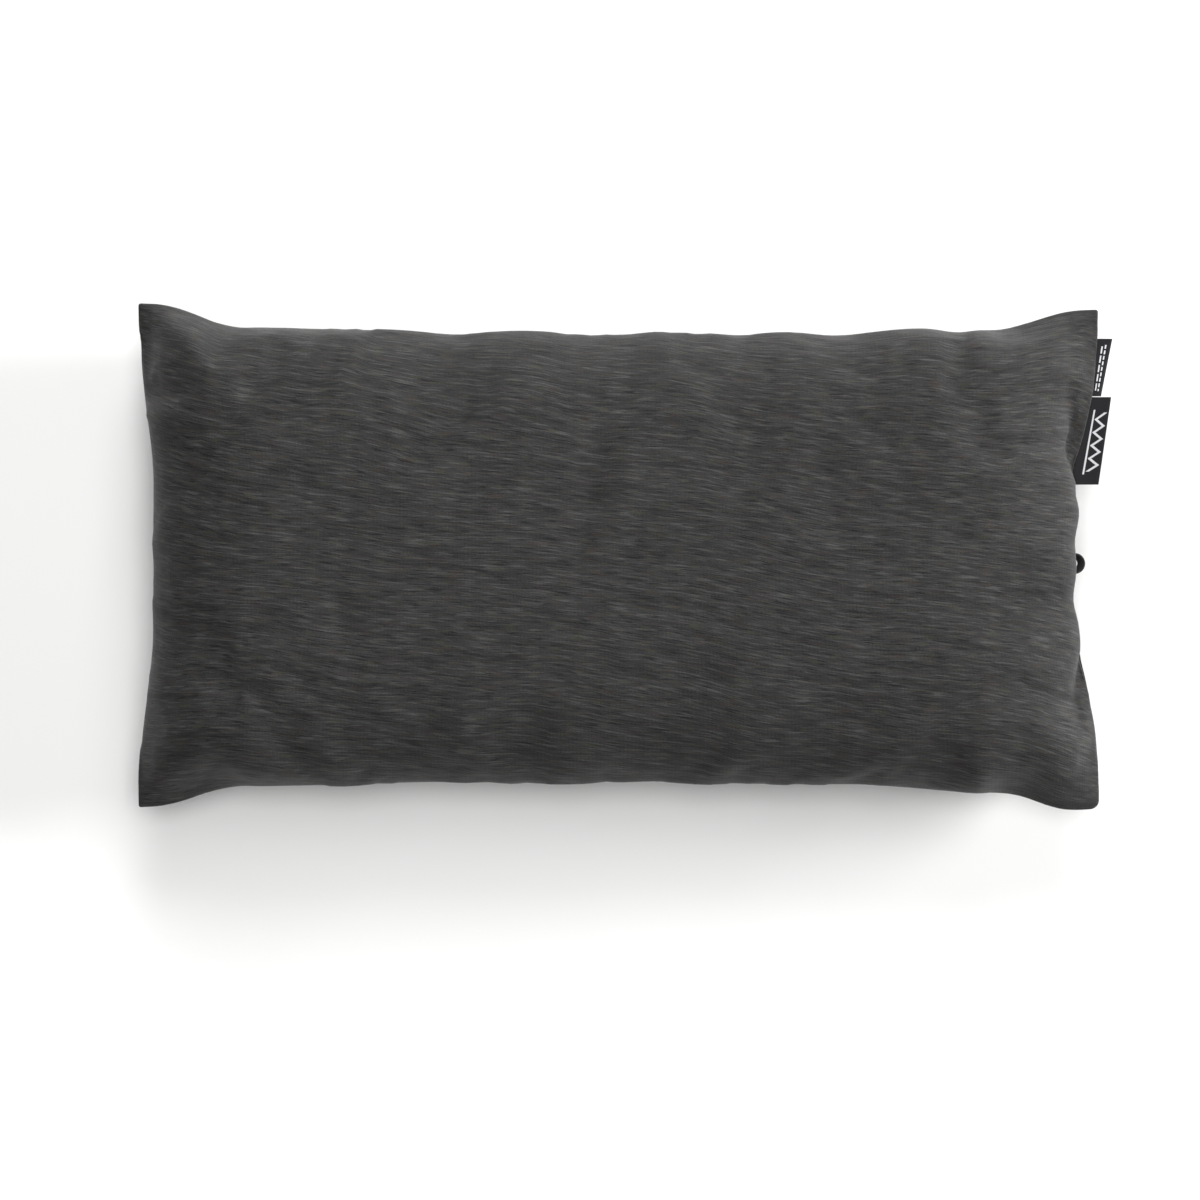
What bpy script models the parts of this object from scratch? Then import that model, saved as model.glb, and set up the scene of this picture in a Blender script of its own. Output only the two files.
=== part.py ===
"""Camp pillow: a sewn jersey cover over a quilted insulation layer and a welded air bladder.

Lengths are in metres. The pillow lies on the plane z = 0 with its long side along X. The origin is
the middle of its footprint, +X points to the end with the valve and the sewn-in labels.
"""

import math

import bmesh
import bpy
from mathutils import Matrix, Vector

# Cover, corner to corner
LENGTH = 0.560
WIDTH = 0.294
HEIGHT = 0.100
SEAM_HEIGHT = 0.045
COVER_WALL = 0.0012
LEFT_END_DRAW = 0.009  # how far the left end is pulled in between its corners
RIGHT_END_DRAW = 0.014
SIDE_DRAW = 0.0125  # the steep part of the long sides' draw, next to the corners
SIDE_BOW = 0.004  # the slow part, along the whole side

# Shape of the crown, as powers of the distance from the middle
END_POWER = 8
SIDE_POWER = 4
EAR_FLATNESS = 0.25  # how much of each corner is left flat, outside the filling
CROWN_SOFTNESS = 0.01
SIDE_DRAW_POWER = 10
BASE_FLATNESS = 1.22  # over 1, the underside presses flat where it rests

# Clearances between neighbouring pieces
GAP = 0.0003
LAYER_GAP = 0.0008  # where the facets of two layers do not line up

# Envelope opening in the underside
HEM_X = 0.150
OVERLAP = 0.060
HEM_RUNOUT = 0.030  # from the hem to where the underlap starts to come out flush

# Quilted layer under the top panel
PAD_THICKNESS = 0.005
LINING_WALL = 0.0006
PAD_END_MARGIN = 0.022  # least distance from the end seams and from the side seams
PAD_SIDE_MARGIN = 0.010

# Air bladder
SHEET_WALL = 0.0008
WELD_WIDTH = 0.006
BLADDER_CLEARANCE = 0.002
BEAM_GAP = 0.0011  # to the crowned film, whose facets run under its curve
BLADDER_CORNER_POWER = 5
BLADDER_EDGE_POWER = 7
BEAM_COUNT = 3
BEAM_PITCH = 0.060
BEAM_LENGTH = 0.360
BEAM_FOOT = 0.010
BEAM_WALL = 0.0008

# Valve, measured from its mouth plane along +X and out from its axis
VALVE_Y = -0.005
VALVE_RECESS = 0.0065  # the mouth plane, inside the middle of the right end seam
PORT_BORE_R = 0.0090
PORT_WALL = 0.0015
PORT_RIM_R = 0.0120
PORT_RIM = 0.0015
PORT_DEPTH = 0.012
BOAT_LENGTH = 0.008
BOAT_HALF_WIDTH = 0.018
BOAT_SHOULDER = 0.0006
SEAT_DEPTH = 0.006
SEAT_BORE_R = 0.0065
SEAT_LIP_R = 0.0105
SEAT_LIP = 0.0009
SPIDER = 0.0015
SPIDER_HUB_R = 0.0026
SPIDER_SPOKES = 4
SPOKE_WIDTH = 0.0016
STEM_R = 0.0012
FLAP = 0.0008
BUTTON_R = 0.0040
BUTTON = 0.0015
BUTTON_TRAVEL = 0.0025
CAP_R = 0.0115
CAP = 0.0018
CAP_PLUG_WALL = 0.0012
CAP_PLUG_TAPER = 0.0003
CAP_PLUG_DEPTH = 0.0028
HINGE_DROP = 0.014  # hinge axis below the valve's axis
HINGE_OUT = 0.0012  # hinge axis outside the mouth plane
TONGUE_WIDTH = 0.008
TONGUE_WALL = 0.0012
LOOP_HALF_WIDTH = 0.0065
LOOP_REACH = 0.0095
LOOP_WALL = 0.0012
LOOP_HEIGHT = 0.0045
LOOP_LIFT = 0.0075  # middle of the loop above the valve's axis

# Opening for the valve in the right end seam
OPENING_HALF_WIDTH = 0.020
OPENING_HALF_HEIGHT = 0.0175

# Labels sewn into the right end seam: start and end along Y, and how far they stand out
LARGE_LABEL = (0.0405, 0.0905)
LARGE_LABEL_REACH = 0.0125
SMALL_LABEL = (0.0910, 0.1245)
SMALL_LABEL_REACH = 0.0085
LABEL_WALL = 0.0008

# Mesh density
PANEL_STEPS = (28, 16)
BLADDER_RINGS = 12
BLADDER_SECTORS = 44
TURN_STEPS = 28

JERSEY = ("#444443", 0.85, 0.0)
INSULATION = ("#E6E6E2", 0.95, 0.0)
LINING = ("#8C8F91", 0.70, 0.0)
BLADDER_FILM = ("#6F7B83", 0.45, 0.0)
SOFT_VALVE = ("#3A3C3E", 0.50, 0.0)
HARD_VALVE = ("#26282A", 0.35, 0.0)
SILICONE = ("#B9BCBE", 0.40, 0.0)
PULL_TAPE = ("#232322", 0.80, 0.0)
LABEL_WEAVE = ("#2B2C30", 0.75, 0.0)


# ---------------------------------------------------------------- scene and materials


def clear_scene():
    for obj in list(bpy.data.objects):
        bpy.data.objects.remove(obj, do_unlink=True)


def linear(channel):
    return channel / 12.92 if channel <= 0.04045 else ((channel + 0.055) / 1.055) ** 2.4


def material(name, finish):
    colour, roughness, metallic = finish
    made = bpy.data.materials.get(name) or bpy.data.materials.new(name)
    made.use_nodes = True
    shader = made.node_tree.nodes["Principled BSDF"]
    channels = [linear(int(colour[i : i + 2], 16) / 255) for i in (1, 3, 5)]
    shader.inputs["Base Color"].default_value = (*channels, 1.0)
    shader.inputs["Roughness"].default_value = roughness
    shader.inputs["Metallic"].default_value = metallic
    return made


def object_from(name, bm, finish, smooth_angle=None):
    """An object from a bmesh, with its material. smooth_angle shades it smooth up to that angle."""
    bmesh.ops.recalc_face_normals(bm, faces=bm.faces)
    mesh = bpy.data.meshes.new(name)
    bm.to_mesh(mesh)
    bm.free()
    if smooth_angle is not None:
        mesh.shade_smooth()
        mesh.set_sharp_from_angle(angle=math.radians(smooth_angle))
    obj = bpy.data.objects.new(name, mesh)
    obj.data.materials.append(material(name, finish))
    bpy.context.scene.collection.objects.link(obj)
    return obj


def hide_cutter(obj):
    obj.hide_render = True
    obj.display_type = "WIRE"
    return obj


def cut(obj, cutter):
    modifier = obj.modifiers.new("cut_" + cutter.name, "BOOLEAN")
    modifier.operation = "DIFFERENCE"
    modifier.object = cutter


# ---------------------------------------------------------------- mesh helpers


def body_between(bm, outer, inner, closed=False):
    """Closes the space between two equal grids of points. closed joins each row's ends, as round a ring."""
    rows = [[[bm.verts.new(p) for p in row] for row in grid] for grid in (outer, inner)]
    last = len(rows[0][0])
    columns = range(last if closed else last - 1)
    for grid in rows:
        for low, high in zip(grid, grid[1:]):
            for i in columns:
                j = (i + 1) % last
                bm.faces.new((low[i], low[j], high[j], high[i]))
    rims = [-1] if closed else [0, -1]
    for r in rims:
        for i in columns:
            j = (i + 1) % last
            bm.faces.new((rows[0][r][i], rows[0][r][j], rows[1][r][j], rows[1][r][i]))
    if not closed:
        for c in (0, -1):
            for k in range(len(outer) - 1):
                a, b = rows[0][k][c], rows[0][k + 1][c]
                d, e = rows[1][k][c], rows[1][k + 1][c]
                bm.faces.new((a, b, e, d))


def lofted(bm, sections):
    """A body through equal closed outlines, one after the other, with flat ends."""
    rings = [[bm.verts.new(p) for p in section] for section in sections]
    for low, high in zip(rings, rings[1:]):
        for i in range(len(low)):
            j = (i + 1) % len(low)
            bm.faces.new((low[i], low[j], high[j], high[i]))
    bm.faces.new(rings[0])
    bm.faces.new(rings[-1])


def turned(bm, profile):
    """Spins a closed profile of (distance along the axis, radius) round the valve's axis."""
    verts = [bm.verts.new((along, 0, radius)) for along, radius in profile]
    edges = [bm.edges.new((a, b)) for a, b in zip(verts, verts[1:] + verts[:1])]
    bmesh.ops.spin(
        bm,
        geom=verts + edges,
        cent=(0, 0, 0),
        axis=(1, 0, 0),
        angle=2 * math.pi,
        steps=TURN_STEPS,
        use_merge=True,
    )
    bmesh.ops.remove_doubles(bm, verts=bm.verts, dist=1e-6)


# ---------------------------------------------------------------- shape of the pillow


def half_length(v, right):
    """Half the cover's length at the share v of its width."""
    draw = RIGHT_END_DRAW if right else LEFT_END_DRAW
    return LENGTH / 2 - draw * (1 - v * v)


def half_width(u):
    """Half the cover's width at the share u of its length."""
    return WIDTH / 2 - SIDE_DRAW * (1 - abs(u) ** SIDE_DRAW_POWER) - SIDE_BOW * (1 - u * u)


def crown(u, v):
    """Height of the filled cover above its seam, from 0 at the seam and in the flat ears to 1."""
    end, side = abs(u) ** END_POWER, abs(v) ** SIDE_POWER
    fill = (1 - end) * (1 - side) - EAR_FLATNESS * end * side
    soft = math.sqrt(CROWN_SOFTNESS)
    full = math.sqrt(1 + CROWN_SOFTNESS) - soft
    return (math.sqrt(max(fill, 0) + CROWN_SOFTNESS) - soft) / full


TOP, BASE = 1, -1


def rise(side):
    """Height of the crown's middle over the panel's own wall at the seam."""
    room = HEIGHT - SEAM_HEIGHT if side == TOP else SEAM_HEIGHT
    return room - GAP / 2 - COVER_WALL


def fullness(u, v, side):
    return crown(u, v) if side == TOP else min(1, BASE_FLATNESS * crown(u, v))


def cover_point(u, v, side, depth):
    """A point on the cover, at a depth inside its outer face."""
    x = u * (half_length(v, u > 0) - depth)
    y = v * (half_width(u) - depth)
    height = GAP / 2 + COVER_WALL + rise(side) * fullness(u, v, side) - depth
    return Vector((x, y, SEAM_HEIGHT + side * height))


def shares(steps):
    """Grid lines from -1 to 1, close together near the ends, where the cover turns down."""
    return [math.sin(math.pi / 2 * (2 * i / steps - 1)) for i in range(steps + 1)]


def share_at(x):
    """The share of the length at which the middle of the cover reaches x."""
    return x / half_length(0, x > 0)


def panel(bm, us, vs, side, depth, wall):
    """A panel of the cover, or of a layer in it."""
    grids = [[[cover_point(u, v, side, d) for v in vs] for u in us] for d in (depth, depth + wall)]
    body_between(bm, *grids)


def cover_top_panel(opening):
    bm = bmesh.new()
    panel(bm, shares(PANEL_STEPS[0]), shares(PANEL_STEPS[1]), TOP, 0, COVER_WALL)
    cut(object_from("cover_top_panel", bm, JERSEY, 40), opening)


def cover_bottom_panel():
    """The underside from the left end to the hem of the envelope opening."""
    hem = share_at(HEM_X)
    us = [u for u in shares(PANEL_STEPS[0]) if u < hem - 0.02] + [hem]
    bm = bmesh.new()
    panel(bm, us, shares(PANEL_STEPS[1]), BASE, 0, COVER_WALL)
    object_from("cover_bottom_panel", bm, JERSEY, 40)


def tuck_at(x):
    """How far the underlap lies inside the bottom panel's face. It comes out flush past the hem."""
    past = (x - HEM_X - HEM_RUNOUT) / HEM_RUNOUT
    return (COVER_WALL + GAP) * min(1, max(0, 1 - past))


def underlap_point(u, v, depth):
    point = cover_point(u, v, BASE, depth)
    tuck = tuck_at(point.x)
    drop = rise(BASE) * fullness(u, v, BASE)
    point.y -= v * 1.5 * tuck
    point.z += min(tuck, drop / 2)
    return point


def cover_underlap(opening):
    """The underside's right part, which passes inside the bottom panel's hem."""
    start = share_at(HEM_X - OVERLAP)
    us = [start] + [u for u in shares(PANEL_STEPS[0]) if u > start + 0.02]
    vs = shares(PANEL_STEPS[1])
    bm = bmesh.new()
    body_between(bm, *[[[underlap_point(u, v, d) for v in vs] for u in us] for d in (0, COVER_WALL)])
    cut(object_from("cover_underlap", bm, JERSEY, 40), opening)


def quilted_layer(name, depth, wall, finish):
    """A sheet under the middle of the top panel, on the panel's own grid lines."""
    us = [u for u in shares(PANEL_STEPS[0]) if abs(u) < 1 - 2 * PAD_END_MARGIN / LENGTH]
    vs = [v for v in shares(PANEL_STEPS[1]) if abs(v) < 1 - 2 * PAD_SIDE_MARGIN / WIDTH]
    bm = bmesh.new()
    panel(bm, us, vs, TOP, depth, wall)
    object_from(name, bm, finish, 40)


PAD_DEPTH = COVER_WALL + GAP
LINING_DEPTH = PAD_DEPTH + PAD_THICKNESS + GAP


# ---------------------------------------------------------------- air bladder


BLADDER_END = LENGTH / 2 - RIGHT_END_DRAW - VALVE_RECESS - PORT_RIM - BLADDER_CLEARANCE
BLADDER_HALF_LENGTH = BLADDER_END - WELD_WIDTH
BLADDER_HALF_WIDTH = half_width(0) - 2 * COVER_WALL - GAP - BLADDER_CLEARANCE - WELD_WIDTH
TOP_STACK = LINING_DEPTH + LINING_WALL + LAYER_GAP
BASE_STACK = 2 * COVER_WALL + GAP + LAYER_GAP


def bladder_height(x, y, side):
    """Height of the bladder's outer face over its weld, from the filled cover round it."""
    power = BLADDER_CORNER_POWER
    reach = abs(x / BLADDER_HALF_LENGTH) ** power + abs(y / BLADDER_HALF_WIDTH) ** power
    reach = min(1, reach ** (1 / power))
    u = min(1, abs(x) / (LENGTH / 2 - RIGHT_END_DRAW - TOP_STACK))
    v = min(1, abs(y) / (half_width(0) - TOP_STACK))
    stack = TOP_STACK if side == TOP else BASE_STACK
    room = COVER_WALL + rise(side) * fullness(u, v, side) - stack - SHEET_WALL
    return max(0, room) * math.sqrt(1 - reach**BLADDER_EDGE_POWER)


def bladder_ring(grow, half_length_in, half_width_in):
    """Points round the bladder's rounded rectangle, at the share grow of its size."""
    points = []
    for i in range(BLADDER_SECTORS):
        angle = 2 * math.pi * i / BLADDER_SECTORS
        c, s = math.cos(angle), math.sin(angle)
        power = BLADDER_CORNER_POWER
        radius = (abs(c) ** power + abs(s) ** power) ** (-1 / power)
        points.append((grow * radius * c * half_length_in, grow * radius * s * half_width_in))
    return points


def bladder_sheet(name, side, port_space):
    """One welded film: a dome with a flat weld edge round it."""
    grows = [math.sin(math.pi / 2 * k / BLADDER_RINGS) for k in range(BLADDER_RINGS + 1)]
    grids = []
    for depth in (0, SHEET_WALL):
        inner_length = BLADDER_HALF_LENGTH - depth
        inner_width = BLADDER_HALF_WIDTH - depth
        grid = []
        for grow in grows:
            row = []
            for x, y in bladder_ring(grow, inner_length, inner_width):
                shape_x = x * BLADDER_HALF_LENGTH / inner_length
                shape_y = y * BLADDER_HALF_WIDTH / inner_width
                height = bladder_height(shape_x, shape_y, side) + SHEET_WALL - depth
                row.append((x, y, SEAM_HEIGHT + side * (GAP / 2 + height)))
            grid.append(row)
        edge = bladder_ring(1, BLADDER_HALF_LENGTH + WELD_WIDTH, BLADDER_HALF_WIDTH + WELD_WIDTH)
        level = SEAM_HEIGHT + side * (GAP / 2 + SHEET_WALL - depth)
        grid.append([(x, y, level) for x, y in edge])
        grids.append(grid)
    bm = bmesh.new()
    body_between(bm, *grids, closed=True)
    bmesh.ops.remove_doubles(bm, verts=bm.verts, dist=1e-6)
    cut(object_from(name, bm, BLADDER_FILM, 50), port_space)


def baffle_beam(name, y):
    """A welded I-beam between the two films, which keeps the bladder from going round."""
    steps = 16
    half_foot, half_web = BEAM_FOOT / 2, BEAM_WALL / 2
    sections = []
    for i in range(steps + 1):
        x = BEAM_LENGTH * (i / steps - 0.5)
        room = {
            side: min(bladder_height(x, y + dy, side) for dy in (-half_foot, half_foot))
            for side in (TOP, BASE)
        }
        top = SEAM_HEIGHT + room[TOP] + GAP / 2 - BEAM_GAP
        low = SEAM_HEIGHT - room[BASE] - GAP / 2 + LAYER_GAP
        half = [
            (half_foot, top),
            (half_foot, top - BEAM_WALL),
            (half_web, top - BEAM_WALL),
            (half_web, low + BEAM_WALL),
            (half_foot, low + BEAM_WALL),
            (half_foot, low),
        ]
        outline = half + [(-dy, z) for dy, z in reversed(half)]
        sections.append([(x, y + dy, z) for dy, z in outline])
    bm = bmesh.new()
    lofted(bm, sections)
    object_from(name, bm, BLADDER_FILM)


# ---------------------------------------------------------------- valve


MOUTH = Vector((LENGTH / 2 - RIGHT_END_DRAW - VALVE_RECESS, VALVE_Y, SEAM_HEIGHT))
CAP_FACE = GAP + SEAT_LIP + GAP
PORT_TUBE_R = PORT_BORE_R + PORT_WALL
SEAT_R = PORT_BORE_R - GAP


def on_valve(obj, parent=None):
    """Places a piece that was modelled from the valve's mouth."""
    if parent:
        obj.parent = parent
        obj.location = MOUTH - parent.location
    else:
        obj.location = MOUTH
    return obj


def boat_outline(grow):
    """The pointed oval that is welded between the films, as two arcs through its points."""
    width, height = BOAT_HALF_WIDTH + grow, PORT_TUBE_R + BOAT_SHOULDER + grow
    steps = 8
    upper = [
        (width * math.cos(math.pi * i / steps), height * math.sin(math.pi * i / steps) ** 1.3)
        for i in range(steps + 1)
    ]
    return upper + [(y, -z) for y, z in reversed(upper[1:-1])]


def boat_body(name, grow, finish):
    bm = bmesh.new()
    start, end = -PORT_DEPTH - grow, -PORT_DEPTH + BOAT_LENGTH + grow
    lofted(bm, [[(x, y, z) for y, z in boat_outline(grow)] for x in (start, end)])
    return on_valve(object_from(name, bm, finish, 40))


def tube(name, profile, finish, smooth_angle=40):
    bm = bmesh.new()
    turned(bm, profile)
    return on_valve(object_from(name, bm, finish, smooth_angle))


def plug_cutter(name, start, end, radius):
    """A solid round cutter along the valve's axis."""
    bm = bmesh.new()
    bmesh.ops.create_cone(
        bm,
        cap_ends=True,
        segments=TURN_STEPS,
        radius1=radius,
        radius2=radius,
        depth=end - start,
        matrix=Matrix.Translation(((start + end) / 2, 0, 0)) @ Matrix.Rotation(math.pi / 2, 4, "Y"),
    )
    return hide_cutter(on_valve(object_from(name, bm, HARD_VALVE)))


def block(name, low, high, finish):
    bm = bmesh.new()
    bmesh.ops.create_cube(bm, size=1)
    size = Vector(high) - Vector(low)
    bmesh.ops.scale(bm, verts=bm.verts, vec=size)
    bmesh.ops.translate(bm, verts=bm.verts, vec=(Vector(high) + Vector(low)) / 2)
    return on_valve(object_from(name, bm, finish))


def join(obj, other):
    """Adds another solid to a piece."""
    modifier = obj.modifiers.new("join_" + other.name, "BOOLEAN")
    modifier.operation = "UNION"
    modifier.object = hide_cutter(other)


def valve_port():
    """Soft port: a boat-shaped foot welded between the films, a tube, a rim and the hinge's ear."""
    rim = [
        (-PORT_DEPTH + BOAT_LENGTH / 2, 0),
        (-PORT_DEPTH + BOAT_LENGTH / 2, PORT_TUBE_R),
        (-PORT_RIM, PORT_TUBE_R),
        (-PORT_RIM, PORT_RIM_R),
        (0, PORT_RIM_R),
        (0, 0),
    ]
    port = boat_body("valve_port", 0, SOFT_VALVE)
    join(port, tube("port_tube_shape", rim, SOFT_VALVE))
    low = (-PORT_RIM + GAP, -TONGUE_WIDTH / 2, -HINGE_DROP - GAP)
    high = (GAP, TONGUE_WIDTH / 2, -SEAT_LIP_R - GAP)
    join(port, block("port_ear_shape", low, high, SOFT_VALVE))
    cut(port, plug_cutter("port_bore_cutter", -2 * PORT_DEPTH, PORT_DEPTH, PORT_BORE_R))


def port_space():
    """The room that the films leave for the port, its foot and tube, with the usual clearance."""
    space = hide_cutter(boat_body("port_foot_space", GAP, SOFT_VALVE))
    radius = PORT_TUBE_R + GAP
    start = -PORT_DEPTH + BOAT_LENGTH / 2
    join(space, plug_cutter("port_tube_space", start, PORT_DEPTH, radius))
    return space


def valve_seat():
    """Rigid ring in the port's bore, with a lip outside and a spider that carries the flap."""
    spider_face = -SEAT_DEPTH + SPIDER
    profile = [
        (-SEAT_DEPTH, SEAT_BORE_R),
        (-SEAT_DEPTH, SEAT_R),
        (GAP, SEAT_R),
        (GAP, SEAT_LIP_R),
        (GAP + SEAT_LIP, SEAT_LIP_R),
        (GAP + SEAT_LIP, SEAT_BORE_R),
    ]
    seat = tube("valve_seat", profile, HARD_VALVE)
    for i in range(SPIDER_SPOKES // 2):
        reach = (SEAT_BORE_R + SEAT_R) / 2
        low = (-SEAT_DEPTH + GAP, -reach, -SPOKE_WIDTH / 2)
        high = (spider_face - GAP, reach, SPOKE_WIDTH / 2)
        spoke = block(f"spoke_shape_{i}", low, high, HARD_VALVE)
        spoke.rotation_euler.x = math.pi / 4 + math.pi * i / (SPIDER_SPOKES // 2)
        join(seat, spoke)
    join(seat, plug_cutter("hub_shape", -SEAT_DEPTH, spider_face, SPIDER_HUB_R))
    cut(seat, plug_cutter("hub_bore_cutter", -2 * SEAT_DEPTH, SEAT_DEPTH, STEM_R + GAP))


def valve_button():
    """Silicone flap, stem and push button in one piece, held on the seat's spider."""
    flap_face = -SEAT_DEPTH - GAP
    head_foot = -SEAT_DEPTH + SPIDER + GAP + BUTTON_TRAVEL
    flap_r = (SEAT_BORE_R + SEAT_R) / 2
    profile = [
        (flap_face - FLAP, 0),
        (flap_face - FLAP, flap_r * 0.6),
        (flap_face - FLAP / 2, flap_r),
        (flap_face, flap_r),
        (flap_face, STEM_R),
        (head_foot, STEM_R),
        (head_foot, BUTTON_R),
        (head_foot + BUTTON * 0.6, BUTTON_R),
        (head_foot + BUTTON, BUTTON_R * 0.7),
        (head_foot + BUTTON, 0),
    ]
    tube("valve_button", profile, SILICONE)


def valve_cap(hinge):
    """Flip cap with a ring plug. Its tongue ends at the strap hinge under the port."""
    root_r = SEAT_BORE_R - GAP
    tip_r = root_r - CAP_PLUG_TAPER
    plug_tip = CAP_FACE - CAP_PLUG_DEPTH
    profile = [
        (CAP_FACE, 0),
        (CAP_FACE, root_r - CAP_PLUG_WALL),
        (plug_tip, root_r - CAP_PLUG_WALL),
        (plug_tip, tip_r),
        (CAP_FACE, root_r),
        (CAP_FACE, CAP_R),
        (CAP_FACE + CAP * 0.6, CAP_R),
        (CAP_FACE + CAP, CAP_R - CAP * 0.4),
        (CAP_FACE + CAP, 0),
    ]
    cap = tube("valve_cap", profile, SOFT_VALVE)
    low = (CAP_FACE, -TONGUE_WIDTH / 2, -HINGE_DROP - GAP)
    high = (CAP_FACE + TONGUE_WALL, TONGUE_WIDTH / 2, -SEAT_BORE_R)
    join(cap, block("cap_tongue_shape", low, high, SOFT_VALVE))
    on_valve(cap, hinge)


def cap_pull_loop(hinge):
    """A flat tape on edge, bent into a finger loop on the cap's face above its middle."""
    steps = 12
    foot = CAP_FACE + CAP + GAP
    low, high = LOOP_LIFT - LOOP_HEIGHT / 2, LOOP_LIFT + LOOP_HEIGHT / 2
    sections = []
    for i in range(steps + 1):
        angle = math.pi * i / steps
        outline = []
        for inset in (0, LOOP_WALL):
            x = foot + (LOOP_REACH - inset) * math.sin(angle)
            y = (LOOP_HALF_WIDTH - inset) * math.cos(angle)
            outline += [(x, y, z) for z in ((low, high) if inset == 0 else (high, low))]
        sections.append(outline)
    bm = bmesh.new()
    lofted(bm, sections)
    on_valve(object_from("cap_pull_loop", bm, PULL_TAPE, 40), hinge)


def cover_opening():
    """The oval left open in the right end seam, round the valve."""
    sectors = 36
    outline = [
        (
            OPENING_HALF_WIDTH * math.cos(2 * math.pi * i / sectors),
            OPENING_HALF_HEIGHT * math.sin(2 * math.pi * i / sectors),
        )
        for i in range(sectors)
    ]
    ends = (-2 * PORT_DEPTH, 2 * PORT_DEPTH)
    bm = bmesh.new()
    lofted(bm, [[(x, y, z) for y, z in outline] for x in ends])
    return hide_cutter(on_valve(object_from("cover_opening_cutter", bm, JERSEY)))


# ---------------------------------------------------------------- labels


def seam_x(y):
    """The right end seam's distance from the middle at y."""
    v = y / half_width(1)
    return half_length(v, True)


def sewn_label(name, span, reach):
    """A folded woven tape that stands out of the right end seam, with a straight outer edge."""
    steps = 6
    low_y, high_y = span
    root_low, root_high = seam_x(low_y), seam_x(high_y)
    bm = bmesh.new()
    grids = []
    for z in (LABEL_WALL / 2, -LABEL_WALL / 2):
        grid = []
        for i in range(steps + 1):
            share = i / steps
            y = low_y + share * (high_y - low_y)
            outer = root_low + share * (root_high - root_low) + reach
            grid.append([(x, y, SEAM_HEIGHT + z) for x in (seam_x(y) + GAP, outer)])
        grids.append(grid)
    body_between(bm, *grids)
    object_from(name, bm, LABEL_WEAVE)


# ---------------------------------------------------------------- assembly


def main():
    clear_scene()
    opening = cover_opening()
    cover_top_panel(opening)
    cover_bottom_panel()
    cover_underlap(opening)
    quilted_layer("insulation_pad", PAD_DEPTH, PAD_THICKNESS, INSULATION)
    quilted_layer("insulation_lining", LINING_DEPTH, LINING_WALL, LINING)
    room = port_space()
    bladder_sheet("bladder_top_sheet", TOP, room)
    bladder_sheet("bladder_bottom_sheet", BASE, room)
    for i in range(BEAM_COUNT):
        baffle_beam(f"baffle_beam_{i + 1}", (i - (BEAM_COUNT - 1) / 2) * BEAM_PITCH)
    valve_port()
    valve_seat()
    valve_button()
    hinge = bpy.data.objects.new("cap_hinge", None)
    hinge.location = MOUTH + Vector((HINGE_OUT, 0, -HINGE_DROP))
    bpy.context.scene.collection.objects.link(hinge)
    valve_cap(hinge)
    cap_pull_loop(hinge)
    sewn_label("label_large", LARGE_LABEL, LARGE_LABEL_REACH)
    sewn_label("label_small", SMALL_LABEL, SMALL_LABEL_REACH)


main()
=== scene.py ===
"""Camp pillow: the looks of an inflatable pillow in a slub jersey cover, built around its CAD model.

Lengths are in metres. +X points to the end with the valve and the labels, and +Z up.
"""

import functools
import math

import bmesh
import bpy
import numpy as np
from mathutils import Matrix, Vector


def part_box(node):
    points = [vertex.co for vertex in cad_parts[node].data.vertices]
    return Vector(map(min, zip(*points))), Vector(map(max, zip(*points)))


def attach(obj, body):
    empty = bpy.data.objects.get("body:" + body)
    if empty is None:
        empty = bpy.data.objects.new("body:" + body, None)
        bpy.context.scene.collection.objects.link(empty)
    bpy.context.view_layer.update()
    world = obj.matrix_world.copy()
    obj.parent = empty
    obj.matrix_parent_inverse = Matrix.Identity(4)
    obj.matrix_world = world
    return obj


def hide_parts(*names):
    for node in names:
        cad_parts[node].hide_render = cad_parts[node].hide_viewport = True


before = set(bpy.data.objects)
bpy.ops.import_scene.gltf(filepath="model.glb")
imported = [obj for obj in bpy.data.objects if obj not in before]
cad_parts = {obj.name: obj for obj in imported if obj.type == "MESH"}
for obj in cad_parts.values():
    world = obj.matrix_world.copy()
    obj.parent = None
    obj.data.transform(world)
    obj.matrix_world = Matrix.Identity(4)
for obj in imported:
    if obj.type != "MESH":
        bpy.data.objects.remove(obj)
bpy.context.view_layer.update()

bl_info = {
    "name": "Camp Pillow",
    "version": (1, 0, 0),
    "blender": (4, 5, 0),
    "location": "3D View > Sidebar > Camp Pillow",
    "description": "Builds the sewn cover, labels, valve and studio stage of a camp pillow",
    "category": "Object",
}


# ---------------------------------------------------------------- sizes and colours


def length(name, description, default):
    return bpy.props.FloatProperty(
        name=name, description=description, default=default, unit="LENGTH", precision=5
    )


def hex_colour(name, description, default):
    return bpy.props.StringProperty(name=name, description=description, default=default)


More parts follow.
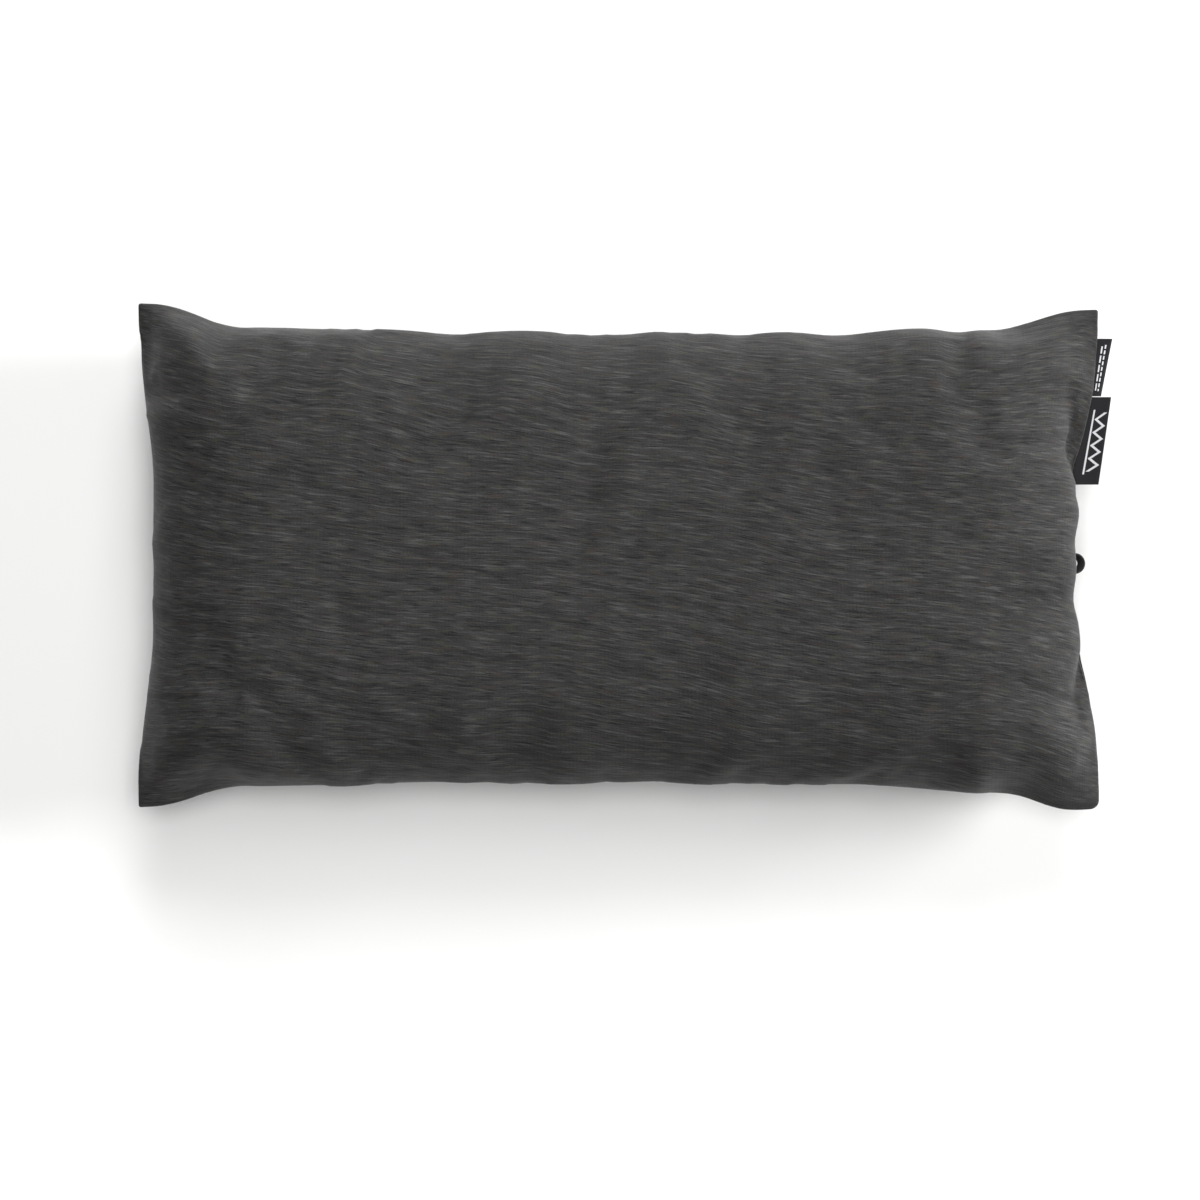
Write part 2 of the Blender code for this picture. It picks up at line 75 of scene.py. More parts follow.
class CoverSettings(bpy.types.PropertyGroup):
    """The jersey cover, ear to ear, and how the filling stands in it."""

    half_length: length("Half length", "From the middle to an ear's tip", 0.280)
    corner_y: bpy.props.FloatVectorProperty(
        name="Ear tips",
        description="Y of the ears: labels' side left and right, other side left and right",
        default=(0.1470, 0.1435, -0.1470, -0.1480),
        size=4,
        unit="LENGTH",
    )
    seam_z: length("Seam height", "The seam's plane above the floor", 0.045)
    crown_z: length("Crown height", "The crown's highest point above the floor", 0.0995)
    left_draw: length("Left end draw", "How far the left end's middle is pulled in", 0.0074)
    right_draw: length("Right end draw", "How far the right end's middle is pulled in", 0.0165)
    side_draw: length("Side draw", "How far the sides are pulled in beside the ears", 0.0097)
    side_bow: length("Side bow", "How far the sides bow in between the ears", 0.0045)
    ear_size: length("Ears", "How far the flat ears reach in from their tips", 0.075)
    edge_width: length("Edge width", "Over which the crown rises from the seam", 0.070)
    edge_round: length("Edge roll", "Radius of the fabric's roll at the seam", 0.0014)
    wall: length("Fabric", "Thickness of the jersey", 0.0010)
    base_colour: hex_colour("Yarn", "The heather's ground colour", "#2C2C2C")
    dark_colour: hex_colour("Dark yarn", "The heather's dark slubs", "#161617")
    light_colour: hex_colour("Light yarn", "The heather's light slubs", "#40403F")
    olive_colour: hex_colour("Olive yarn", "A tint in some slubs", "#35342C")
    umber_colour: hex_colour("Umber yarn", "A second tint in some slubs", "#372F2B")


class LabelSettings(bpy.types.PropertyGroup):
    """The two woven labels in the end seam."""

    weave_colour: hex_colour("Label weave", "The satin's ground colour", "#121216")
    motif_colour: hex_colour("Label motif", "The motif's yarn", "#C9C9CC")


class ValveSettings(bpy.types.PropertyGroup):
    """The valve at the right end."""

    loop_half_width: length("Loop half width", "Half the pull loop's width", 0.0058)
    loop_reach: length("Loop reach", "How far the pull loop stands off the cap", 0.0064)
    loop_lean: bpy.props.FloatProperty(
        name="Loop lean", description="How far the loop's top leans out, in degrees", default=52
    )
    tape_width: length("Tape width", "Width of the loop's tape", 0.0050)
    tape_wall: length("Tape thickness", "Thickness of the loop's tape", 0.0012)
    soft_colour: hex_colour("Soft urethane", "The port and the cap", "#242628")
    hard_colour: hex_colour("Hard plastic", "The seat", "#17181A")
    silicone_colour: hex_colour("Silicone", "The flap and its button", "#85888A")
    tape_colour: hex_colour("Pull tape", "The loop's tape", "#1A1A1A")


class StageSettings(bpy.types.PropertyGroup):
    """The studio."""

    camera_height: length("Camera height", "Above the seam's plane", 3.0)
    view_width: length("View width", "What the picture takes in at the seam's plane", 0.6992)
    view_x: length("View X", "X of the picture's middle", -0.0108)
    view_y: length("View Y", "Y of the picture's middle", -0.0262)
    floor_colour: hex_colour("Floor", "The pale floor", "#F7F7F6")
    light_power: bpy.props.FloatProperty(
        name="Light", description="Power of a light's unit, W", default=80.0
    )
    sky: bpy.props.FloatProperty(name="Sky", description="Ambient light's strength", default=0.04)


def settings(name):
    return getattr(bpy.context.scene, "camp_pillow_" + name)


# ---------------------------------------------------------------- nodes and materials


def colour(code):
    """An sRGB hex code as linear RGBA."""
    channels = [int(code[i : i + 2], 16) / 255 for i in (1, 3, 5)]
    linear = [c / 12.92 if c <= 0.04045 else ((c + 0.055) / 1.055) ** 2.4 for c in channels]
    return (*linear, 1.0)


def add_node(tree, kind, inputs=None, **values):
    """A shader node with its settings. inputs holds a value or another node's output for a socket."""
    node = tree.nodes.new("ShaderNode" + kind)
    for key, value in values.items():
        setattr(node, key, value)
    for socket, value in (inputs or {}).items():
        if isinstance(value, bpy.types.NodeSocket):
            tree.links.new(value, node.inputs[socket])
        else:
            node.inputs[socket].default_value = value
    return node


def new_material(name):
    """(material, its node tree, its Principled shader)"""
    made = bpy.data.materials.new(name)
    made.use_nodes = True
    return made, made.node_tree, made.node_tree.nodes["Principled BSDF"]


def streaks(tree, cloth, long, wide, turn, detail, place):
    """Noise drawn out along the courses: long and wide are a streak's size in metres."""
    laid = add_node(
        tree,
        "Mapping",
        {"Vector": cloth, "Location": (place, place / 3, 0), "Rotation": (0, 0, turn)},
        vector_type="TEXTURE",
    )
    drawn = add_node(
        tree, "VectorMath", {0: laid.outputs[0], 1: (1 / long, 1 / wide, 1)}, operation="MULTIPLY"
    )
    return add_node(
        tree,
        "TexNoise",
        {"Vector": drawn.outputs[0], "Scale": 1.0, "Detail": detail, "Roughness": 0.55},
        noise_dimensions="2D",
    ).outputs["Fac"]


def ramp(tree, factor, low, high, to_low=0.0, to_high=1.0):
    """The stretch of factor from low to high, mapped from to_low to to_high."""
    return add_node(
        tree,
        "MapRange",
        {"Value": factor, 1: low, 2: high, 3: to_low, 4: to_high},
        clamp=True,
    ).outputs[0]


def math_node(tree, operation, a, b):
    return add_node(tree, "Math", {0: a, 1: b}, operation=operation).outputs[0]


def mixed(tree, factor, a, b):
    """Colour a turned to b by factor."""
    return add_node(
        tree, "Mix", {"Factor": factor, 6: a, 7: b}, data_type="RGBA", clamp_factor=True
    ).outputs[2]


def wave_scale(pitch):
    """The Scale at which a wave texture's bands are pitch metres apart: at 1 they are pi / 10."""
    return math.pi / 10 / pitch


COURSE_TILT = math.radians(-6.0)  # the courses' turn against the cover's length
WALE_PITCH = 0.0021713  # the knit's columns, drawn coarser than real ones so that they show
THREAD_PITCH = 0.00078957  # the satin's threads, drawn coarser for the same reason


def jersey():
    """Heather slub jersey, knitted polyester: matt charcoal yarn with short pale and dark slubs along
    the courses, faint olive and umber flecks, and a soft nap that catches light seen on edge."""
    s = settings("cover")
    made, tree, shader = new_material("heather slub jersey")
    flat = add_node(tree, "UVMap", uv_map="cloth").outputs[0]
    # The courses wander by some millimetres, as a knit's do once it is sewn and filled
    wander = add_node(
        tree, "TexNoise", {"Vector": flat, "Scale": 7.0, "Detail": 1.0}, noise_dimensions="2D"
    ).outputs["Color"]
    drift = add_node(tree, "VectorMath", {0: wander, 1: (0, 0.014, 0)}, operation="MULTIPLY").outputs[0]
    cloth = add_node(tree, "VectorMath", {0: flat, 1: drift}, operation="ADD").outputs[0]
    tilt = COURSE_TILT
    fine = streaks(tree, cloth, long=0.0125, wide=0.00068, turn=tilt, detail=3.0, place=0.0)
    slub = streaks(tree, cloth, long=0.0150, wide=0.00105, turn=tilt * 1.1, detail=2.0, place=0.37)
    broad = streaks(tree, cloth, long=0.0420, wide=0.00480, turn=tilt * 1.6, detail=2.0, place=0.81)
    fleck = streaks(tree, cloth, long=0.0130, wide=0.00220, turn=tilt, detail=1.0, place=1.53)
    umber = streaks(tree, cloth, long=0.0160, wide=0.0030, turn=tilt, detail=1.0, place=2.91)
    grain = streaks(tree, cloth, long=0.0010, wide=0.0008, turn=0, detail=1.0, place=2.2)

    dark = ramp(tree, fine, 0.48, 0.33)
    pale = ramp(tree, slub, 0.52, 0.73)
    ground = mixed(tree, dark, colour(s.base_colour), colour(s.dark_colour))
    ground = mixed(tree, pale, ground, colour(s.light_colour))
    olive = math_node(tree, "MULTIPLY", ramp(tree, fleck, 0.62, 0.80), 0.75)
    ground = mixed(tree, olive, ground, colour(s.olive_colour))
    umber = math_node(tree, "MULTIPLY", ramp(tree, umber, 0.60, 0.80), 0.45)
    ground = mixed(tree, umber, ground, colour(s.umber_colour))
    tone = ramp(tree, broad, 0.28, 0.72, 0.70, 1.28)
    shade = math_node(tree, "ADD", tone, ramp(tree, grain, 0.2, 0.8, -0.20, 0.20))
    shaded = add_node(tree, "VectorMath", {0: ground, 1: shade}, operation="MULTIPLY").outputs[0]
    tree.links.new(shaded, shader.inputs["Base Color"])

    wale = add_node(
        tree,
        "TexWave",
        {"Vector": cloth, "Scale": wave_scale(WALE_PITCH), "Distortion": 0.6, "Detail": 1.0},
        wave_type="BANDS",
        bands_direction="X",
    ).outputs["Fac"]
    relief = math_node(tree, "ADD", math_node(tree, "MULTIPLY", wale, 0.14), fine)
    relief = math_node(tree, "ADD", relief, math_node(tree, "MULTIPLY", grain, 0.5))
    bump = add_node(tree, "Bump", {"Strength": 0.35, "Distance": 0.0005, "Height": relief})
    tree.links.new(bump.outputs[0], shader.inputs["Normal"])
    shader.inputs["Roughness"].default_value = 0.85
    shader.inputs["Specular IOR Level"].default_value = 0.25
    shader.inputs["Sheen Weight"].default_value = 0.12
    shader.inputs["Sheen Roughness"].default_value = 0.45
    return made


def plain_finish(name, code, roughness, mottle, bump_size, bump_depth):
    """A moulded or coated finish: one colour with a faint mottle, and a fine grain in its relief."""
    made, tree, shader = new_material(name)
    place = add_node(tree, "TexCoord").outputs["Object"]
    grain = add_node(
        tree, "TexNoise", {"Vector": place, "Scale": 1 / bump_size, "Detail": 3.0}
    ).outputs["Fac"]
    base = colour(code)
    deep = tuple(c * (1 - mottle) for c in base[:3]) + (1.0,)
    tree.links.new(mixed(tree, grain, deep, base), shader.inputs["Base Color"])
    uneven = ramp(tree, grain, 0.3, 0.7, roughness * 0.92, min(1.0, roughness * 1.08))
    tree.links.new(uneven, shader.inputs["Roughness"])
    bump = add_node(tree, "Bump", {"Strength": 0.5, "Distance": bump_depth, "Height": grain})
    tree.links.new(bump.outputs[0], shader.inputs["Normal"])
    return made


def label_satin(name, motif):
    """Woven damask label: warp-faced satin, smooth with a low sheen, with a motif in pale yarn."""
    s = settings("label")
    made, tree, shader = new_material(name)
    cloth = add_node(tree, "UVMap", uv_map="cloth").outputs[0]
    axes = add_node(tree, "SeparateXYZ", {0: cloth})
    along, across = axes.outputs[0], axes.outputs[1]
    shown = motif(tree, along, across)
    thread = add_node(
        tree,
        "TexWave",
        {"Vector": cloth, "Scale": wave_scale(THREAD_PITCH), "Distortion": 0.4},
        bands_direction="Y",
    ).outputs["Fac"]
    ground = mixed(tree, shown, colour(s.weave_colour), colour(s.motif_colour))
    # painted shade between the satin's threads: the colour darkens to 0.86 in the grooves between thread
    # bands
    thread_shade = ramp(tree, thread, 0.0, 1.0, 0.86, 1.0)
    shaded = add_node(tree, "VectorMath", {0: ground, 1: thread_shade}, operation="MULTIPLY").outputs[0]
    tree.links.new(shaded, shader.inputs["Base Color"])
    bump = add_node(tree, "Bump", {"Strength": 0.3, "Distance": 0.0001, "Height": thread})
    tree.links.new(bump.outputs[0], shader.inputs["Normal"])
    shader.inputs["Roughness"].default_value = 0.6
    shader.inputs["Specular IOR Level"].default_value = 0.2
    return made


def between(tree, value, low, high):
    """1 where value lies between low and high."""
    above = math_node(tree, "GREATER_THAN", value, low)
    return math_node(tree, "MULTIPLY", above, math_node(tree, "LESS_THAN", value, high))


def ridge_motif(tree, along, across):
    """A plain zigzag line with a bar under it."""
    pitch, foot, height, line = 0.0076, 0.0070, 0.0050, 0.0010
    zigzag_run, bar_run, bar_edges = (0.0076, 0.0420), (0.0060, 0.0436), (0.0046, 0.0056)
    cell = math_node(tree, "PINGPONG", along, pitch / 2)
    slope = math_node(tree, "MULTIPLY", cell, height / (pitch / 2))
    level = math_node(tree, "SUBTRACT", math_node(tree, "SUBTRACT", across, foot), slope)
    zigzag = math_node(
        tree, "MULTIPLY", between(tree, level, -line, line), between(tree, along, *zigzag_run)
    )
    bar = math_node(
        tree, "MULTIPLY", between(tree, across, *bar_edges), between(tree, along, *bar_run)
    )
    return math_node(tree, "MAXIMUM", zigzag, bar)


def dash_motif(tree, along, across):
    """Two fine lines of woven dashes along the label's middle."""
    half_line, line_run = 0.0004, (0.0030, 0.0300)
    rows = []
    for middle, pitch, run in ((0.0052, 0.0016, 0.0011), (0.0034, 0.0027, 0.0021)):
        dashes = math_node(tree, "LESS_THAN", math_node(tree, "PINGPONG", along, pitch), run)
        row = between(tree, across, middle - half_line, middle + half_line)
        rows.append(math_node(tree, "MULTIPLY", dashes, row))
    both = math_node(tree, "MAXIMUM", *rows)
    return math_node(tree, "MULTIPLY", both, between(tree, along, *line_run))


# ---------------------------------------------------------------- mesh helpers


def smooth_step(low, high, value):
    t = np.clip((value - low) / (high - low), 0, 1)
    return t * t * (3 - 2 * t)


def finished(name, mesh, material, body, slot_name, *nodes):
    """An object for a finished mesh, on its body, in place of the CAD nodes it stands for."""
    obj = bpy.data.objects.new(name, mesh)
    bpy.context.scene.collection.objects.link(obj)
    mesh.materials.clear()
    mesh.materials.append(material)
    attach(obj, body)
    if nodes:
        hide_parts(*nodes)
    return obj


def grid_mesh(name, points, cloth, flip=False):
    """A sheet through a grid of points, with the cloth's own coordinates as its UV map."""
    rows, columns = points.shape[:2]
    index = np.arange(rows * columns).reshape(rows, columns)
    quads = np.stack([index[:-1, :-1], index[1:, :-1], index[1:, 1:], index[:-1, 1:]], axis=-1)
    quads = quads.reshape(-1, 4)
    if flip:
        quads = quads[:, ::-1]
    mesh = bpy.data.meshes.new(name)
    mesh.from_pydata(points.reshape(-1, 3).tolist(), [], quads.tolist())
    layer = mesh.uv_layers.new(name="cloth")
    corners = np.zeros(len(mesh.loops), np.int32)
    mesh.loops.foreach_get("vertex_index", corners)
    layer.data.foreach_set("uv", cloth.reshape(-1, 2)[corners].astype(np.float32).ravel())
    mesh.shade_smooth()
    return mesh


def only_select(obj):
    bpy.ops.object.select_all(action="DESELECT")
    obj.select_set(True)
    bpy.context.view_layer.objects.active = obj


def thickened(obj, wall):
    """Gives a sheet its wall, inwards from the face that shows."""
    only_select(obj)
    modifier = obj.modifiers.new("wall", "SOLIDIFY")
    modifier.thickness = wall
    modifier.offset = -1
    modifier.use_even_offset = False
    bpy.ops.object.modifier_apply(modifier=modifier.name)


# ---------------------------------------------------------------- shape of the cover

TOP, BASE = 1, -1  # the cover's two sides, and the way each one faces along Z
SEAM_GAP = 0.0002  # between the two sides at the seam
PUCKER = 0.35  # share of the blown puckers that is kept
CORNER_R = 0.0015  # radius at the ears' tips
LOW_CORNER_R = 0.0050  # radius at the lower right ear's tip, which is blunter
UNEVEN_DRAW = 0.0008  # the labels' side is drawn in more than the other by twice this

VALVE_Y = -0.005  # the valve's place along the end seam
MOUTH_HALF_WIDTH = 0.024  # the opening in the end seam, round the valve
MOUTH_RISE = 0.0135  # how far the top lifts there
MOUTH_DROP = 0.0180  # how far the back comes down there

# Two folds in the top, one beside the labels and one beside the lower right ear: how far in from
# the right end they lie, and the runs along Y over which they get there
FOLD_TOP = 0.018
FOLD_TOP_RUNS = ((0.67, 0.0385, 0.066), (0.33, 0.070, 0.105))  # share of the way, start, end
FOLD_LOW = 0.0125
FOLD_LOW_RUN = (-0.047, -0.088)
FOLD_SOFTNESS = 0.0006
FLAT_SLOPE = 0.008  # outside a fold: the share of its usual slope that the crown keeps
TIP_SLOPE = 0.69  # the share that comes back towards the ears' tips
TIP_SLOPE_RUN = (0.074, 0.108)

# How far an ear is folded towards its end on the labels' side, and towards its side on the other
# one: left ear, right ear
LEAN_END = (1.0, 0.7)
LEAN_SIDE = (0.6, 0.9)

# How far the filling stands out past the seam
PAST_LEFT = 0.0003
PAST_RIGHT = 0.0012
PAST_VALVE = 0.0034
PAST_SIDES = 0.0012

# A soft ridge, where the crown turns down towards the lower right ear
RIDGE_POINT = (0.192, -0.031)
RIDGE_FACING = (0.906, 0.422)  # its slope's direction in X and Y
RIDGE_HEIGHT = 0.0013
RIDGE_WIDTH = 0.013
RIDGE_RUN = (-0.072, 0.036)  # its middle along Y, and how far it runs each way

# Soft pulls in the long sides: place along X, width, depth, side
SIDE_PULLS = (
    (-0.090, 0.020, 0.0016, 1),
    (-0.015, 0.018, 0.0014, 1),
    (0.071, 0.016, 0.0010, 1),
    (0.127, 0.014, 0.0012, 1),
    (0.190, 0.026, -0.0026, 1),
    (0.197, 0.009, 0.0026, 1),
    (-0.110, 0.030, 0.0010, -1),
    (0.012, 0.026, 0.0010, -1),
    (0.150, 0.024, 0.0006, -1),
    (0.214, 0.017, -0.0030, -1),
    (0.254, 0.012, -0.0024, -1),
)
# Soft pulls in the right end: place along Y, width, depth
END_PULLS = (
    (0.047, 0.011, 0.0026),
    (0.023, 0.007, -0.0022),
    (0.008, 0.006, 0.0006),
    (-0.025, 0.007, 0.0024),
    (-0.058, 0.012, 0.0020),
    (-0.104, 0.018, -0.0013),
)


def bump_curve(value, centre, width):
    return np.exp(-0.5 * ((value - centre) / width) ** 2)


def blow_up(verts, quads, resting, seam, frames):
    """Blows a closed cloth up with air, its resting points held and its seam drawn in, and returns
    how far each point moved."""
    mesh = bpy.data.meshes.new("cover_blown")
    mesh.from_pydata(verts.tolist(), [], quads.tolist())
    blown = bpy.data.objects.new("cover_blown", mesh)
    bpy.context.scene.collection.objects.link(blown)
    only_select(blown)
    held = blown.vertex_groups.new(name="held")
    held.add(resting.tolist(), 1.0, "REPLACE")
    drawn = blown.vertex_groups.new(name="drawn")
    drawn.add(seam.tolist(), 1.0, "REPLACE")
    cloth = blown.modifiers.new("cloth", "CLOTH")
    fabric = cloth.settings
    fabric.quality = 6
    fabric.mass = 0.2
    fabric.tension_stiffness = fabric.compression_stiffness = 12
    fabric.shear_stiffness = 6
    fabric.bending_stiffness = 0.35
    fabric.use_pressure = True
    fabric.uniform_pressure_force = 3.0
    fabric.vertex_group_mass = "held"
    fabric.vertex_group_shrink = "drawn"
    fabric.shrink_min = -0.012
    fabric.shrink_max = 0.055
    fabric.effector_weights.gravity = 0
    cloth.collision_settings.use_collision = False
    cloth.collision_settings.use_self_collision = False
    cloth.point_cache.frame_start = 1
    cloth.point_cache.frame_end = frames
    scene = bpy.context.scene
    for number in range(1, frames + 1):
        scene.frame_set(number)
    bpy.ops.object.modifier_apply(modifier=cloth.name)
    scene.frame_set(1)
    moved = np.zeros(len(verts) * 3, np.float32)
    blown.data.vertices.foreach_get("co", moved)
    shift = moved.reshape(-1, 3) - verts
    bpy.data.objects.remove(blown)
    bpy.data.meshes.remove(mesh)
    return shift


class Cover:
    """The cover's outer face. u and v run from -1 to 1 along X and Y, on each side of the seam."""

    def __init__(self):
        s = settings("cover")
        self.s = s
        self.drift = None

    def seam_x(self, u, v):
        """Half the length at v: the ends are pulled in between the ears."""
        s = self.s
        left = s.left_draw * (1 - smooth_step(0.28, 0.82, np.abs(v)))
        right = s.right_draw * (1 + np.cos(np.pi * np.minimum(np.abs(v) / 0.88, 1))) / 2
        return s.half_length - np.where(u > 0, right, left)

    def seam_y(self, u, v):
        """Half the width at u: the sides are pulled in between the ears."""
        s = self.s
        tips = np.where(
            v > 0,
            s.corner_y[0] + (s.corner_y[1] - s.corner_y[0]) * (u + 1) / 2,
            -s.corner_y[2] - (s.corner_y[3] - s.corner_y[2]) * (u + 1) / 2,
        )
        draw = np.where(v > 0, s.side_draw + UNEVEN_DRAW, s.side_draw - UNEVEN_DRAW)
        bow = s.side_bow * (1 - u * u)
        return tips - draw * (1 - smooth_step(0.775, 0.975, np.abs(u))) - bow

    def fullness(self, u, v, side):
        """The crown's share of its height: full over the middle, and next to nothing in the ears."""
        s = self.s
        from_end = self.seam_x(u, v) * (1 - np.abs(u))
        from_side = self.seam_y(u, v) * (1 - np.abs(v))
        if side == TOP:
            # Outside the two folds the layers lie nearly flat on each other
            y = v * self.seam_y(u, v)
            top_share = sum(part * smooth_step(start, end, y) for part, start, end in FOLD_TOP_RUNS)
            flat = FOLD_TOP * top_share + FOLD_LOW * smooth_step(*FOLD_LOW_RUN, y)
            flat = flat * smooth_step(0.6, 0.8, u)
            steep = FOLD_SOFTNESS * np.logaddexp(0, (from_end - flat) / FOLD_SOFTNESS)
            slope = FLAT_SLOPE + TIP_SLOPE * smooth_step(*TIP_SLOPE_RUN, np.abs(y))
            folded = slope * from_end + (1 - slope) * np.minimum(steep, from_end)
            from_end = np.where(flat > 1e-6, folded, from_end)
        ear = np.clip(1 - from_end / s.ear_size, 0, 1) * np.clip(1 - from_side / s.ear_size, 0, 1)
        ear = ear * smooth_step(0, 0.28, ear)
        lean_end = 1 + ear * np.where(v > 0, np.where(u < 0, *LEAN_END), 0)
        lean_side = 1 + ear * np.where(v < 0, np.where(u < 0, *LEAN_SIDE), 0)
        near = (np.maximum(from_end, 1e-6) * lean_side) ** -2.0
        near = near + (np.maximum(from_side, 1e-6) * lean_end) ** -2.0
        inside = near**-0.5
        long_slope = 0.020 * bump_curve(v, -0.25, 0.35) * smooth_step(0.2, 0.6, u)
        rise = 1 - (1 - np.clip(inside / (s.edge_width + long_slope), 0, 1)) ** 2.6
        return rise ** (0.52 + 1.5 * ear)

    def point(self, u, v, side):
        """The outer face at (u, v), as an array of points."""
        s = self.s
        u, v = np.broadcast_arrays(np.asarray(u, float), np.asarray(v, float))
        half_x, half_y = self.seam_x(u, v), self.seam_y(u, v)
        x, y = u * half_x, v * half_y
        share = self.fullness(u, v, side)
        edge = np.minimum(half_x * (1 - np.abs(u)), half_y * (1 - np.abs(v)))
        roll = s.edge_round
        rolled = roll * np.sqrt(np.maximum(0, 1 - (1 - np.clip(edge / roll, 0, 1)) ** 2))

        # The filling stands out past the seam, most of all over the valve. 6.75 makes the highest
        # value of swell 1, a third of the way up the crown
        swell = 6.75 * share * (1 - share) ** 2 * (1 if side == TOP else 0.6)
        end_mid = 1 - smooth_step(0.35, 0.80, np.abs(v))
        over_valve = bump_curve(y, VALVE_Y, 0.045)
        past_right = PAST_RIGHT * end_mid + PAST_VALVE * over_valve
        past_end = np.where(u > 0, past_right, PAST_LEFT * end_mid)
        x = x + np.sign(u) * swell * past_end * smooth_step(0.75, 0.95, np.abs(u))
        side_mid = 1 - smooth_step(0.70, 0.92, np.abs(u))
        y = y + np.sign(v) * swell * PAST_SIDES * side_mid * smooth_step(0.6, 0.9, np.abs(v))

        # Soft pulls, which fade out over the crown
        from_side = half_y * (1 - np.abs(v))
        from_end = half_x * (1 - np.abs(u))
        sunk = np.zeros_like(x)
        for place, width, depth, on in SIDE_PULLS:
            pull = depth * bump_curve(x, place, width) * (v * on > 0)
            y = y - np.sign(v) * pull * np.exp(-from_side / 0.018)
            sunk += 0.9 * pull * np.exp(-(((from_side - 0.012) / 0.020) ** 2))
        for place, width, depth in END_PULLS:
            pull = depth * bump_curve(y, place, width) * (u > 0)
            x = x - pull * np.exp(-from_end / 0.020) * (1 if side == TOP else 0.5)
            sunk += 0.5 * pull * np.exp(-(((from_end - 0.014) / 0.018) ** 2))

        # The corners are turned round a small radius
        radius = np.where((u > 0) & (v < 0), LOW_CORNER_R, CORNER_R)
        in_end, in_side = np.maximum(radius - from_end, 0), np.maximum(radius - from_side, 0)
        corner = (in_end > 0) & (in_side > 0)
        reach = np.maximum(np.hypot(in_end, in_side), 1e-9)
        drawn = np.where(corner, 1 - np.maximum(in_end, in_side) / reach, 0)
        x = x - np.sign(u) * in_end * drawn
        y = y - np.sign(v) * in_side * drawn

        # The seam opens round the valve
        open_share = np.clip(1 - ((y - VALVE_Y) / MOUTH_HALF_WIDTH) ** 2, 0, 1) ** 0.7
        lip = (MOUTH_RISE if side == TOP else MOUTH_DROP) * open_share
        lip = lip * np.where(u > 0, smooth_step(0.80, 0.93, u), 0)

        if side == TOP:
            height = s.crown_z - s.seam_z - roll - SEAM_GAP / 2
            dome = 0.945 + 0.055 * (1 - u * u) * (1 - v * v)
            beside = (x - RIDGE_POINT[0]) * RIDGE_FACING[0] + (y - RIDGE_POINT[1]) * RIDGE_FACING[1]
            ridge = RIDGE_HEIGHT * bump_curve(beside, 0, RIDGE_WIDTH) * bump_curve(y, *RIDGE_RUN)
            stand = share * (dome * height + ridge) - sunk
        else:
            height = s.seam_z - roll - SEAM_GAP / 2
            pressed = 1.22 * share
            # a soft corner where the underside presses flat
            stand = height * (1 - np.maximum(0, 1 - pressed) ** 1.35) - 0.4 * sunk * (share < 0.8)
            stand = np.minimum(stand, height)
        stand = lip + stand * (1 - lip / (height + 0.004))
        z = s.seam_z + side * (SEAM_GAP / 2 + rolled + np.maximum(stand, 0))
        points = np.stack([x, y, z], axis=-1)
        if self.drift is not None:
            points = points + self.drift_at(u, v, side)
        points[..., 2] = np.maximum(points[..., 2], 0.0)
        return points

    def lines(self, count, edge_steps):
        """Grid lines from -1 to 1 with a few more close to the seam, for its roll."""
        even = np.sin(np.pi / 2 * np.linspace(-1, 1, count))
        inner = even[np.abs(even) < 1 - edge_steps[-1] * 1.6]
        near = 1 - np.array(edge_steps)
        return np.concatenate([-near, inner, near[::-1]])

    def relax(self, steps_u=96, steps_v=54, frames=18, cap=0.0020):
        """Blows the closed cover up as cloth, with its seam drawn in, and keeps the soft puckers."""
        us, vs = np.linspace(-1, 1, steps_u + 1), np.linspace(-1, 1, steps_v + 1)
        us, vs = np.sin(np.pi / 2 * us) * 0.55 + us * 0.45, np.sin(np.pi / 2 * vs) * 0.55 + vs * 0.45
        grid_u, grid_v = np.meshgrid(us, vs, indexing="ij")
        faces = {side: self.point(grid_u, grid_v, side) for side in (TOP, BASE)}
        seam_z = self.s.seam_z
        rim = np.zeros(grid_u.shape, bool)
        rim[0, :] = rim[-1, :] = rim[:, 0] = rim[:, -1] = True
        faces[TOP][rim, 2] = seam_z
        top_index = np.arange(rim.size).reshape(rim.shape)
        base_index = np.full(rim.shape, -1)
        base_index[rim] = top_index[rim]
        base_index[~rim] = rim.size + np.arange((~rim).sum())
        verts = np.concatenate([faces[TOP].reshape(-1, 3), faces[BASE][~rim]])
        quads = []
        for index, flip in ((top_index, False), (base_index, True)):
            corners = (index[:-1, :-1], index[1:, :-1], index[1:, 1:], index[:-1, 1:])
            quad = np.stack(corners, axis=-1).reshape(-1, 4)
            quads.append(quad[:, ::-1] if flip else quad)
        resting = np.nonzero(verts[:, 2] < 0.0006)[0]
        shift = blow_up(verts, np.concatenate(quads), resting, top_index[rim], frames)
        fields = {TOP: shift[top_index], BASE: shift[base_index]}
        for side, field in fields.items():
            soft = field.copy()
            for _ in range(60):
                soft[1:-1, 1:-1] = (
                    soft[:-2, 1:-1] + soft[2:, 1:-1] + soft[1:-1, :-2] + soft[1:-1, 2:]
                ) / 4
                soft[0], soft[-1] = soft[1], soft[-2]
                soft[:, 0], soft[:, -1] = soft[:, 1], soft[:, -2]
            fields[side] = field - soft
        # both sides share the seam
        both = (fields[TOP] + fields[BASE]) / 2
        for side, field in fields.items():
            field[rim] = both[rim]
            ears = smooth_step(0.78, 0.95, np.abs(grid_u)) * smooth_step(0.70, 0.93, np.abs(grid_v))
            field = field * (PUCKER * (1 - 0.85 * ears))[..., None]
            size = np.linalg.norm(field, axis=-1, keepdims=True)
            fields[side] = field * np.minimum(1, cap / np.maximum(size, 1e-9))
        self.drift = (us, vs, fields)

